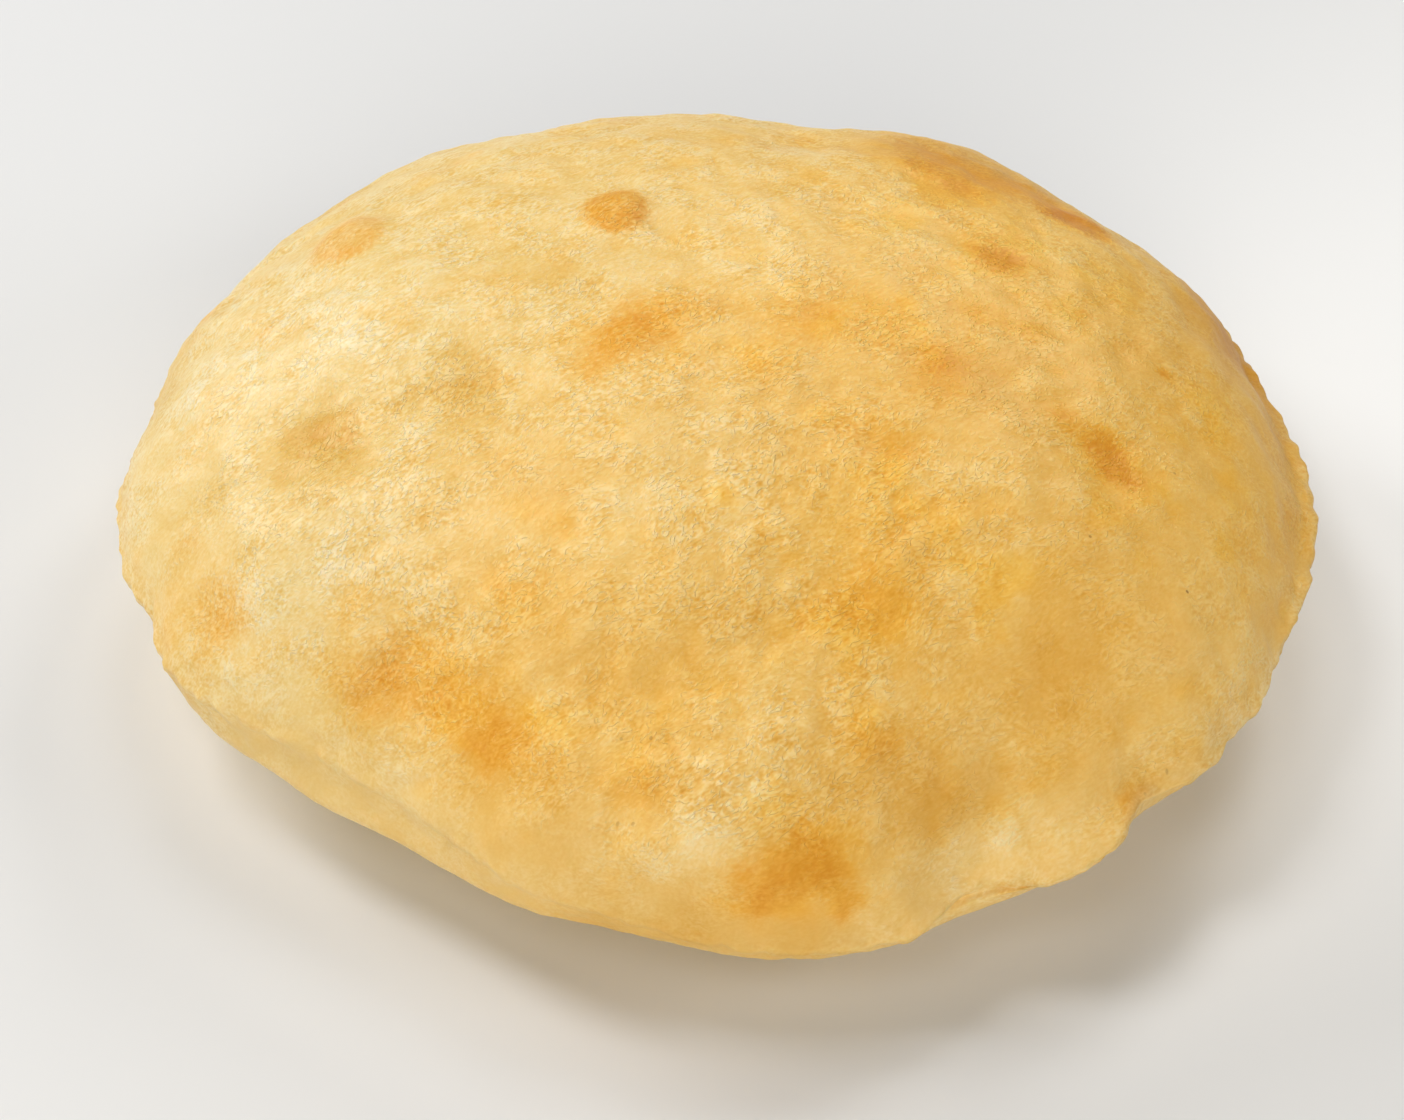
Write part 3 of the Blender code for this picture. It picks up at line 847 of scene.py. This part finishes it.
def shape_crust(data, sizes):
    """Give the joined grids the form and relief of the bread."""
    places = vertex_places(data)
    top = np.zeros(len(places), np.float32)
    data.attributes["top"].data.foreach_get("value", top)
    top = top > 0.5
    angles, shares = wrap_on_disc(places)
    reach, points = bread_points(angles, shares, top, sizes)
    points[:, :2] -= (points[:, :2].max(axis=0) + points[:, :2].min(axis=0)) / 2
    put(data, points)
    normals = vertex_normals(data)
    fade = np.clip((1.0 - reach) / RELIEF_FADE, 0.0, 1.0)
    bubbly = patches_at(points, BUBBLY_PATCHES)
    rise = bumps_at(points, SWELLS) + blisters_at(points) + creases_at(points)
    rise += sizes.uneven_depth * noise_at(points, *UNEVEN_NOISE)
    lumps = sizes.ripple_depth * noise_at(points, *RIPPLE_NOISE)
    lumps += 0.5 * sizes.ripple_depth * noise_at(points, *FINE_RIPPLE_NOISE)
    bubbles = bubbles_at(points, BUBBLE_SPACING) - 0.5
    lumps += sizes.bubble_depth * (BUBBLES_ANYWHERE + bubbly) * bubbles
    rise += lumps
    height = smooth_step(points[:, 2], *FLAT_SPOT_EDGE)
    under = sizes.uneven_depth * noise_at(points, *BELLY_NOISE)
    points += normals * (np.where(top, rise, under * height) * fade)[:, None]
    scallop = reach ** SCALLOP_FADE * height
    out = noise_at(points, *SCALLOP_NOISE) + 0.6 * noise_at(points, *WIDE_SCALLOP_NOISE)
    lift = noise_at(points, *LIP_LIFT_NOISE)
    turn = np.radians(angles)
    points[:, 0] += np.cos(turn) * sizes.scallop_depth * out * scallop
    points[:, 1] += np.sin(turn) * sizes.scallop_depth * out * scallop
    points[:, 2] += sizes.scallop_depth * lift * scallop
    points = fit_to_solid(points)
    put(data, points)
    ragged = strayed(strayed(points, *PATCH_STRAY), *FINE_PATCH_STRAY)
    wavering = strayed(points, *BLISTER_STRAY)
    brown = patches_at(ragged, BROWN_PATCHES) + blister_browning(wavering)
    keep(data, "browning", np.where(top, brown, 0.0))
    keep(data, "golden", patches_at(ragged, GOLDEN_PATCHES))
    keep(data, "belly", np.where(top, smooth_step(reach, *BELLY_EDGE), 1.0))
    keep(data, "bubbly", np.where(top, bubbly, 0.0))
    # tone of the skin, with painted shade in the hollows
    keep(data, "shade", bumps_at(ragged, TONES_AND_PAINTED_SHADE))
    keep(data, "specked", patches_at(points, SPECKED_PATCHES))
    keep(data, "smooth", patches_at(points, SMOOTH_PATCHES))
    # height of the lumps, which the crust's colour turns into painted shade in their dips
    # and painted light on their tops
    keep(data, "lift", np.where(top, lumps * fade * 1000.0, 0.0))      # in millimetres


# ---------------------------------------------------------------- material

class Graph:
    """Short way to write a material's node tree."""

    def __init__(self, name):
        self.material = bpy.data.materials.new(name)
        self.material.use_nodes = True
        self.tree = self.material.node_tree
        self.shader = self.tree.nodes["Principled BSDF"]

    def add(self, kind, values=(), **settings):
        """A node with its settings, and its input values or links by name."""
        node = self.tree.nodes.new("ShaderNode" + kind)
        for key, value in settings.items():
            setattr(node, key, value)
        for key, value in dict(values).items():
            self.feed(node.inputs[key], value)
        return node

    def feed(self, socket, value):
        """Link an output to a socket, or set the socket's value."""
        if isinstance(value, bpy.types.NodeSocket):
            self.tree.links.new(value, socket)
        else:
            socket.default_value = value

    def maths(self, operation, first, second=0.0, third=0.0, clamp=False):
        """Result of one calculation."""
        node = self.add("Math", {0: first, 1: second, 2: third}, operation=operation,
                        use_clamp=clamp)
        return node.outputs[0]

    def centred(self, value, amount):
        """A value from 0 to 1, made to swing this much about nothing."""
        return self.maths("MULTIPLY_ADD", value, amount, -0.5 * amount)

    def blend(self, share, first, second, kind="MIX"):
        """Mix of two colours."""
        node = self.add("Mix", data_type="RGBA", blend_type=kind, clamp_factor=True)
        self.feed(node.inputs[0], share)
        self.feed(node.inputs[6], first)
        self.feed(node.inputs[7], second)
        return node.outputs[2]

    def ramp(self, value, low, high, start=0.0, end=1.0):
        """Value eased from the low mark to the high mark."""
        node = self.add("MapRange", {0: value, 1: low, 2: high, 3: start, 4: end},
                        interpolation_type="SMOOTHSTEP")
        return node.outputs[0]

    def noise(self, place, scale, detail=2.0, roughness=0.5, distortion=0.0):
        """Smooth noise from 0 to 1."""
        node = self.add("TexNoise", {"Vector": place, "Scale": scale, "Detail": detail,
                                     "Roughness": roughness, "Distortion": distortion})
        return node.outputs["Fac"]

    def attribute(self, name):
        """A value kept on the mesh."""
        return self.add("Attribute", attribute_name=name).outputs["Fac"]


def crust_material(colours):
    """Oily fried crust: mottled gold, browner patches, and a grain with painted shade in its
    dips and painted glints on its paler ridges.
    """
    graph = Graph("fried_crust")
    place = graph.add("TexCoord").outputs["Object"]
    swirl = graph.add("TexNoise", {"Vector": place, "Scale": SWIRLS}).outputs["Color"]
    flow = graph.add("VectorMath", {0: swirl, 1: (SWIRL_REACH,) * 3, 2: place},
                     operation="MULTIPLY_ADD").outputs[0]
    turn = (0.0, 0.0, math.radians(GRAIN_TURN))
    flow = graph.add("Mapping", {"Vector": flow, "Rotation": turn, "Scale": GRAIN_STRETCH},
                     vector_type="TEXTURE").outputs[0]
    strands = graph.noise(flow, STRANDS, 1.0, 1.0)
    strokes = graph.noise(flow, STROKES, 0.0, 0.5, 0.6)
    strokes = graph.maths("ABSOLUTE", graph.centred(strokes, 2.0))
    strokes = graph.ramp(strokes, 0.0, 0.16, 1.0, 0.0)
    strokes = graph.maths("MULTIPLY", strokes, graph.ramp(strands, 0.44, 0.60))
    lumps = graph.noise(place, LUMPS, 1.0, 1.0)
    mottle = graph.noise(place, MOTTLES, 2.0, 0.6)
    pools = graph.ramp(graph.noise(place, POOLS, 1.0), 0.38, 0.60, 0.50, 1.20)
    belly = graph.attribute("belly")
    bubbly = graph.attribute("bubbly")
    rough = graph.maths("MULTIPLY_ADD", graph.attribute("smooth"), -0.8, 1.0)
    rough = graph.maths("MULTIPLY", rough, pools)
    rough = graph.maths("MULTIPLY", rough, graph.maths("MULTIPLY_ADD", bubbly, 0.45, 0.90))

    brown = graph.attribute("browning")
    ragged = graph.maths("ADD", graph.centred(lumps, LUMP_BROWNING),
                        graph.centred(strands, STRAND_BROWNING))
    brown = graph.maths("MULTIPLY", brown, graph.maths("ADD", ragged, 1.0), clamp=True)
    mottle = graph.ramp(mottle, 0.48, 0.72, -0.06, 0.24)
    golden = graph.maths("ADD", graph.attribute("golden"), mottle, clamp=True)
    golden = graph.maths("ADD", golden, graph.maths("MULTIPLY", brown, 1.2), clamp=True)
    pale, gold, deep, under = (tuple(colour) + (1.0,) for colour in (
        colours.pale, colours.golden, colours.brown, colours.belly))
    colour = graph.blend(golden, pale, gold)
    colour = graph.blend(graph.ramp(brown, 0.05, 0.68), colour, deep)
    colour = graph.blend(graph.maths("MULTIPLY", belly, 0.6), colour, under)
    # grain's own colour with painted shade of the fine relief, paler on the ridges and
    # darker in the gaps
    tone_and_painted_light = graph.maths("ADD", graph.centred(strands, STRAND_GRAIN_AND_PAINTED_SHADE),
                       graph.centred(lumps, LUMP_GRAIN_AND_PAINTED_SHADE))
    # painted glints on the strokes
    tone_and_painted_light = graph.maths("ADD", tone_and_painted_light, graph.maths("MULTIPLY_ADD", strokes, *STROKE_PAINTED_GLINT))
    pooled = graph.maths("MULTIPLY_ADD", pools, *POOL_TONE)
    tone_and_painted_light = graph.maths("MULTIPLY_ADD", tone_and_painted_light, rough, pooled)
    # painted shade of the lumps: darker in their dips, paler on their tops
    painted_lump_shade = graph.maths("MULTIPLY_ADD", graph.attribute("lift"), LUMP_HEIGHT_PAINTED_SHADE, 0.02)
    tone_and_painted_light = graph.maths("ADD", tone_and_painted_light, painted_lump_shade)
    # level off the painted light of the ridges and glints
    tone_and_painted_light = graph.maths("SMOOTH_MIN", tone_and_painted_light, *BRIGHTEST_PAINTED_LIGHT)
    # add the listed tones, with their painted shade in the hollows
    tone_and_painted_light = graph.maths("ADD", tone_and_painted_light, graph.attribute("shade"))
    # the tone, painted shade and painted glints included, lightens or darkens the colour
    tint = graph.add("CombineColor", {
        at: graph.maths("EXPONENT", graph.maths("MULTIPLY", tone_and_painted_light, share))
        for at, share in enumerate(TINT)}).outputs[0]
    colour = graph.blend(1.0, colour, tint, "MULTIPLY")
    cells = graph.add("TexVoronoi", {"Vector": place, "Scale": SPECKS},
                      voronoi_dimensions="2D")
    speck = graph.ramp(cells.outputs["Distance"], 0.014, 0.030, 1.0, 0.0)
    chosen = graph.maths("GREATER_THAN", cells.outputs["Color"], 0.45)
    speck = graph.maths("MULTIPLY", speck, graph.maths("MULTIPLY", chosen, 0.75))
    speck = graph.maths("MULTIPLY", speck, graph.attribute("specked"))
    colour = graph.blend(speck, colour, tuple(colours.speck) + (1.0,))

    shader = graph.shader
    graph.feed(shader.inputs["Base Color"], colour)
    graph.feed(shader.inputs["Roughness"], colours.roughness)
    shader.inputs["IOR"].default_value = 1.46
    shader.inputs["Specular IOR Level"].default_value = 0.28
    shader.inputs["Subsurface Weight"].default_value = 0.15
    shader.inputs["Subsurface Radius"].default_value = (1.0, 0.55, 0.22)
    shader.inputs["Subsurface Scale"].default_value = 0.0014

    rise = graph.maths("MULTIPLY", lumps, graph.maths("MULTIPLY_ADD", bubbly, *LUMP_BUMP))
    rise = graph.maths("ADD", rise, graph.maths("MULTIPLY", strands, STRAND_BUMP))
    rise = graph.maths("ADD", rise, graph.maths("MULTIPLY", strokes, STROKE_BUMP))
    rise = graph.maths("MULTIPLY", rise, graph.maths("MULTIPLY_ADD", belly, -0.6, 1.0))
    bump = graph.add("Bump", {"Strength": 1.0, "Distance": BUMP_HEIGHT,
                              "Height": graph.maths("MULTIPLY", rise, rough)})
    graph.feed(shader.inputs["Normal"], bump.outputs[0])
    return graph.material


def floor_material(settings):
    """Plain pale satin floor."""
    graph = Graph("pale_floor")
    shader = graph.shader
    shader.inputs["Base Color"].default_value = tuple(settings.floor_colour) + (1.0,)
    shader.inputs["Roughness"].default_value = settings.floor_roughness
    return graph.material


# ---------------------------------------------------------------- operators

def link(name, data):
    """An object at the origin that holds the data."""
    thing = bpy.data.objects.new(name, data)
    bpy.context.scene.collection.objects.link(thing)
    return thing


class BHATURA_OT_crust(bpy.types.Operator):
    """Make the bread's crust, with its seam, blisters, relief and browning"""
    bl_idname = "bhatura.crust"
    bl_label = "Crust"

    def execute(self, context):
        sizes = context.scene.bhatura_sizes
        mesh = joined_grids(sizes.cells)
        data = bpy.data.meshes.new("bhatura_crust")
        mesh.to_mesh(data)
        mesh.free()
        shape_crust(data, sizes)
        data.shade_smooth()
        data.materials.append(crust_material(context.scene.bhatura_colours))
        crust = link("bhatura_crust", data)
        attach(crust, "root")
        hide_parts("bhatura")
        return {"FINISHED"}


def add_lamp(name, azimuth, elevation, distance, size, watts, colour):
    """Round soft lamp that points at the bread."""
    data = bpy.data.lights.new(name, "AREA")
    data.shape = "DISK"
    data.size = size
    data.energy = watts
    data.color = colour
    lamp = link(name, data)
    turn, rise = math.radians(azimuth), math.radians(elevation)
    away = Vector((math.cos(turn) * math.cos(rise), math.sin(turn) * math.cos(rise),
                   math.sin(rise)))
    lamp.location = away * distance
    lamp.rotation_euler = away.to_track_quat("Z", "Y").to_euler()


# Lamps: name, azimuth, elevation, distance, diameter, watts, colour
LAMPS = (
    ("lamp_left", 150.0, 28.0, 1.1, 0.36, 4.7, (1.0, 0.99, 0.97)),
    ("lamp_left_high", 160.0, 60.0, 1.1, 0.36, 3.2, (1.0, 0.99, 0.98)),
    ("lamp_back_right", 62.0, 38.0, 1.1, 0.36, 2.6, (1.0, 0.98, 0.93)),
    ("lamp_back_high", 92.0, 55.0, 1.1, 0.36, 1.3, (1.0, 0.99, 0.98)),
    ("lamp_right", 350.0, 30.0, 1.1, 0.40, 1.8, (1.0, 0.95, 0.88)),
    ("lamp_front", 274.0, 27.0, 1.1, 0.50, 4.3, (1.0, 0.93, 0.80)),
    ("lamp_front_high", 240.0, 58.0, 1.1, 0.40, 1.1, (1.0, 0.98, 0.95)),
    ("lamp_front_low", 236.0, 12.0, 1.1, 0.50, 1.3, (1.0, 0.87, 0.64)),
)
CAMERA_PLACE = (-0.00245, -0.29498, 0.30132)
CAMERA_DOWN = 45.1             # degrees below the horizon
CAMERA_ROLL = 3.07
CAMERA_LENS = 66.667
CAMERA_SENSOR = 36.0


class BHATURA_OT_stage(bpy.types.Operator):
    """Make the floor, the studio lamps and the camera"""
    bl_idname = "bhatura.stage"
    bl_label = "Stage"

    def execute(self, context):
        settings = context.scene.bhatura_stage
        mesh = bmesh.new()
        bmesh.ops.create_grid(mesh, x_segments=1, y_segments=1, size=settings.floor_size / 2)
        data = bpy.data.meshes.new("floor")
        mesh.to_mesh(data)
        mesh.free()
        data.materials.append(floor_material(settings))
        link("floor", data)
        for name, azimuth, elevation, distance, size, watts, colour in LAMPS:
            add_lamp(name, azimuth, elevation, distance, size, watts * settings.lamp_power,
                     colour)
        world = bpy.data.worlds.new("studio")
        world.use_nodes = True
        light = world.node_tree.nodes["Background"]
        light.inputs["Color"].default_value = tuple(settings.fill_colour) + (1.0,)
        light.inputs["Strength"].default_value = settings.fill
        context.scene.world = world
        self.add_camera(context.scene)
        context.scene.view_settings.view_transform = "Standard"
        return {"FINISHED"}

    def add_camera(self, scene):
        """Camera that looks down at the bread from the front."""
        data = bpy.data.cameras.new("camera")
        data.lens = CAMERA_LENS
        data.sensor_width = CAMERA_SENSOR
        camera = link("camera", data)
        turn = Matrix.Rotation(math.radians(90.0 - CAMERA_DOWN), 3, "X")
        turn = turn @ Matrix.Rotation(math.radians(CAMERA_ROLL), 3, "Z")
        camera.location = CAMERA_PLACE
        camera.rotation_euler = turn.to_euler()
        scene.camera = camera


class BHATURA_PT_panel(bpy.types.Panel):
    """Panel that lists the bread's settings and steps"""
    bl_idname = "BHATURA_PT_panel"
    bl_label = "Bhatura"
    bl_space_type = "VIEW_3D"
    bl_region_type = "UI"
    bl_category = "Bhatura"

    def draw(self, context):
        scene = context.scene
        for group in (scene.bhatura_sizes, scene.bhatura_colours, scene.bhatura_stage):
            box = self.layout.box()
            for name in group.__annotations__:
                box.prop(group, name)
        self.layout.operator(BHATURA_OT_crust.bl_idname)
        self.layout.operator(BHATURA_OT_stage.bl_idname)


CLASSES = (BreadSizes, CrustColours, StageSettings, BHATURA_OT_crust, BHATURA_OT_stage,
           BHATURA_PT_panel)


def register():
    """Register the classes and their settings."""
    for kind in CLASSES:
        bpy.utils.register_class(kind)
    bpy.types.Scene.bhatura_sizes = PointerProperty(type=BreadSizes)
    bpy.types.Scene.bhatura_colours = PointerProperty(type=CrustColours)
    bpy.types.Scene.bhatura_stage = PointerProperty(type=StageSettings)


def unregister():
    """Remove what register added."""
    del bpy.types.Scene.bhatura_stage
    del bpy.types.Scene.bhatura_colours
    del bpy.types.Scene.bhatura_sizes
    for kind in reversed(CLASSES):
        bpy.utils.unregister_class(kind)


def main():
    """Make the bread and its stage."""
    register()
    bpy.ops.bhatura.crust()
    bpy.ops.bhatura.stage()


if __name__ == "__main__":
    main()
